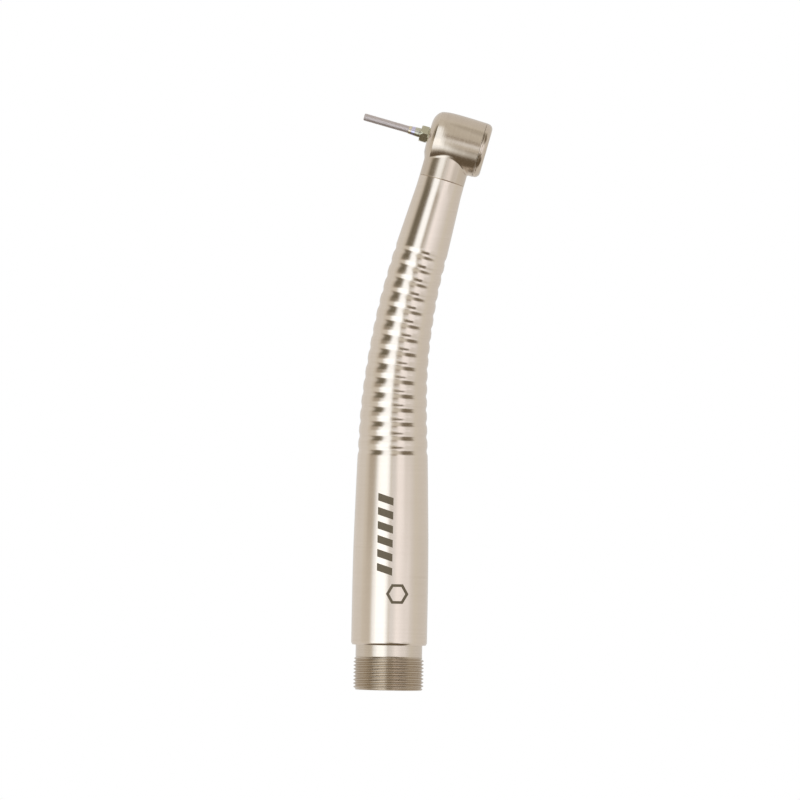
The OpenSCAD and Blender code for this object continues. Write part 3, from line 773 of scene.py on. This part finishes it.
def etching():
    """Steel darkened by etching."""
    made, tree, shader, coords = looks("etched_mark")
    shader.inputs["Metallic"].default_value = 0.55
    grain = noise(tree, coords, (5200, 5200, 5200), 4.0)
    grained(tree, shader, grain, (0.125, 0.098, 0.06), (0.215, 0.172, 0.108), (0.45, 0.6), 4e-6)
    return made


def phenolic():
    """Cloth-filled resin of the ball cages."""
    made, tree, shader, coords = looks("cage_phenolic", True)
    weave = noise(tree, coords, (4200, 4200, 9000), 2.0)
    grained(tree, shader, weave, (0.15, 0.055, 0.02), (0.33, 0.14, 0.055), (0.4, 0.55), 3e-6)
    return made


def head_metal(name):
    """Turned steel of the head and of its cap."""
    return metal(name, (0.64, 0.545, 0.435), (0.70, 0.60, 0.48), 0.2, lines=0.6e-6,
                 in_head=True, line_pitch=0.35 * MM)


def materials():
    return {
        "satin_steel": sleeve_steel(),
        "turned_steel": back_end_steel(),
        "collet_steel": collet_steel(),
        "head_steel": head_metal("head_steel"),
        "cap_steel": head_metal("cap_steel"),
        "chuck_steel": metal("chuck_steel", (0.56, 0.53, 0.38), (0.72, 0.68, 0.51), 0.2, lines=1e-6,
                             in_head=True),
        "blank_steel": metal("blank_steel", (0.62, 0.55, 0.515), (0.72, 0.645, 0.61), 0.5, lines=1e-6,
                             in_head=True),
        "bright_steel": metal("bright_steel", (0.72, 0.70, 0.67), (0.82, 0.80, 0.77), 0.16, in_head=True),
        "jet_brass": metal("jet_brass", (0.74, 0.54, 0.24), (0.86, 0.66, 0.34), 0.24, lines=1e-6),
        "impeller_alloy": metal("impeller_alloy", (0.76, 0.77, 0.78), (0.88, 0.88, 0.89), 0.3, lines=1.5e-6,
                                in_head=True),
        "black_rubber": rubber("black_rubber", (0.012, 0.012, 0.012), (0.03, 0.03, 0.03)),
        "brown_rubber": rubber("brown_rubber", (0.085, 0.03, 0.014), (0.16, 0.062, 0.03)),
        "cage_phenolic": phenolic(),
    }


# ---------------------------------------------------------------- studio
SURROUND = (0.75, 0.74, 0.72)
# Soft cards round the object, from the widest to the smallest: azimuth from the camera's side to the
# right, elevation, softness of both, colour.
CARDS = [
    ((95, 200), (-90, 90), (16, 1), (0.73, 0.72, 0.72)),         # the white room behind, right
    ((-200, -95), (-90, 90), (16, 1), (0.77, 0.765, 0.77)),      # and left
    ((-95, -60), (-90, 90), (10, 1), (0.72, 0.70, 0.67)),
    ((-58, -8), (-38, 8), (12, 12), (1.32, 1.44, 1.62)),         # the softbox on the left
    ((-38, -8), (0, 52), (12, 12), (1.32, 1.44, 1.62)),
    ((-82, -50), (2, 20), (14, 6), (0.48, 0.44, 0.38)),          # a dark patch above it
    ((-78, -38), (13, 58), (22, 12), (0.18, 0.16, 0.12)),
    ((-9, 15), (-40, -9), (10, 10), (0.60, 0.57, 0.52)),         # between the two softboxes
    ((-2, 16), (-90, 90), (9, 1), (0.64, 0.62, 0.58)),
    ((-2, 16), (-7, 7), (8, 5), (0.92, 0.95, 1.04)),
    ((30, 75), (-32, 12), (16, 10), (0.80, 0.80, 0.83)),         # the weaker softbox on the right
    ((14, 40), (-32, 20), (14, 12), (1.14, 1.15, 1.25)),
    ((30, 62), (-4, 3), (16, 5), (1.02, 1.03, 1.12)),
    ((30, 76), (16, 58), (18, 10), (0.21, 0.18, 0.14)),          # a dark patch above it
    ((-6, 14), (8, 22), (8, 8), (0.42, 0.385, 0.34)),            # a darker strip over the camera
    ((24, 60), (58, 72), (14, 10), (0.56, 0.54, 0.50)),          # overhead
    ((-160, -4), (-84, -46), (16, 12), (0.15, 0.12, 0.085)),     # the dark table edge below
    ((-10, 80), (-82, -38), (12, 12), (0.13, 0.10, 0.065)),
    ((-4, 36), (-60, -21), (8, 6), (0.17, 0.14, 0.10)),          # its near corner
]


def eased(tree, value, middle, soft, start, end):
    """A smooth step from start to end where value passes middle."""
    limits = {"Value": value, 1: middle - soft / 2, 2: middle + soft / 2, 3: start, 4: end}
    return add(tree, "MapRange", limits, interpolation_type="SMOOTHSTEP").outputs[0]


def window(tree, angle, span, soft):
    """One inside the span of an angle and zero outside, with soft edges."""
    rise = eased(tree, angle, min(span), soft, 0.0, 1.0)
    fall = eased(tree, angle, max(span), soft, 1.0, 0.0)
    return product(tree, rise, fall)


def angles(tree):
    """Azimuth and elevation of the world's direction, in degrees."""
    direction = add(tree, "TexCoord").outputs["Generated"]
    parts = add(tree, "SeparateXYZ", {0: direction}).outputs
    ahead = product(tree, parts[1], -1.0)
    turned = add(tree, "Math", {0: parts[0], 1: ahead}, operation="ARCTAN2").outputs[0]
    raised = add(tree, "Math", {0: parts[2]}, operation="ARCSINE").outputs[0]
    return [add(tree, "Math", {0: a}, operation="DEGREES").outputs[0] for a in (turned, raised)]


def surroundings():
    """What the metal reflects; the camera itself sees plain white."""
    world = bpy.data.worlds.new("studio")
    bpy.context.scene.world = world
    world.use_nodes = True
    tree = world.node_tree
    tree.nodes.clear()
    azimuth, elevation = angles(tree)
    colour = (*SURROUND, 1)
    for sides, heights, soft, card in CARDS:
        across = window(tree, azimuth, sides, soft[0])
        share = product(tree, across, window(tree, elevation, heights, soft[1]))
        colour = blended(tree, share, colour, (*card, 1))
    seen = add(tree, "LightPath").outputs["Is Camera Ray"]
    colour = blended(tree, seen, colour, (1, 1, 1, 1))
    back = add(tree, "Background", {"Color": colour, "Strength": 1.0})
    tree.links.new(back.outputs[0], add(tree, "OutputWorld").inputs[0])


FLOOR_Z, FLOOR_R = -90 * MM, 0.9
FLOOR_HUB, FLOOR_THICK = 0.001, 0.002           # radius of the pinhole at its middle, and thickness
CAMERA_AIM = Vector((1.4, 0, 64.5)) * MM
CAMERA_FROM = 1.483
LENS, SENSOR = 300, 36                          # millimetres
CAMERA_ROLL = math.radians(1.1)
CAMERA_RISE = math.radians(-1.35)               # the camera looks up a little, from below the middle


def floor():
    """A plain pale disc, well below the object."""
    under = FLOOR_Z - FLOOR_THICK
    outline = [(FLOOR_HUB, FLOOR_Z), (FLOOR_R, FLOOR_Z), (FLOOR_R, under), (FLOOR_HUB, under)]
    made = revolve("studio_floor", outline, 96)
    paper, tree, shader, coords = looks("pale_paper")
    grain = noise(tree, coords, (40, 40, 40), 2.0)
    tree.links.new(shades(tree, grain, (0.86, 0.86, 0.86), (0.9, 0.9, 0.9)), shader.inputs["Base Color"])
    shader.inputs["Roughness"].default_value = 0.9
    shader.inputs["Emission Color"].default_value = (1, 1, 1, 1)
    shader.inputs["Emission Strength"].default_value = 0.25
    made.data.materials.append(paper)
    made.visible_glossy = False


def soft_light(name, place, size, watts):
    light = bpy.data.lights.new(name, "AREA")
    light.size, light.energy = size, watts
    made = bpy.data.objects.new(name, light)
    made.location = place
    made.rotation_euler = (CAMERA_AIM - Vector(place)).to_track_quat("-Z", "Y").to_euler()
    made.visible_camera = False
    bpy.context.scene.collection.objects.link(made)


def camera():
    lens = bpy.data.cameras.new("camera")
    lens.lens, lens.sensor_width = LENS, SENSOR
    made = bpy.data.objects.new("camera", lens)
    away = Vector((0, -math.cos(CAMERA_RISE), math.sin(CAMERA_RISE)))
    made.location = CAMERA_AIM + away * CAMERA_FROM
    tilt = Matrix.Rotation(math.pi / 2 - CAMERA_RISE, 3, "X")
    made.rotation_euler = (Matrix.Rotation(CAMERA_ROLL, 3, away) @ tilt).to_euler()
    bpy.context.scene.collection.objects.link(made)
    bpy.context.scene.camera = made
    bpy.context.scene.view_settings.view_transform = "Standard"


# ---------------------------------------------------------------- assembly
PIECES = [
    (handle_shell, "handpiece", "handle_sleeve"),
    (back_end_turned, "handpiece", "back_end"),
    (head_shell, "handpiece", "head_housing"),
    (cap_shell, "cap", "head_cap"),
    (nut_ground, "chuck_nut_body", "chuck_nut"),
    (collet_split, "collet_body", "collet"),
    (bur_ground, "bur", "bur_blank"),
]


def assemble():
    skins = materials()
    slots = {part["node"]: part["material_slot"] for part in frame["record"]["subparts"]}
    named = {**slots, "collet": "collet_steel"}
    for build, body, node in PIECES:
        made = build()
        made.data.materials.append(skins[named[node]])
        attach(made, body)
        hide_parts(node)
    for node, made in frame["nodes"].items():
        made.data.materials.clear()
        made.data.materials.append(skins[named[node]])
    mark = decoration()
    mark.data.materials.append(etching())
    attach(mark, "handpiece")


assemble()
surroundings()
floor()
soft_light("key", (-0.85, -1.5, -0.25), 0.9, 0.6)
camera()
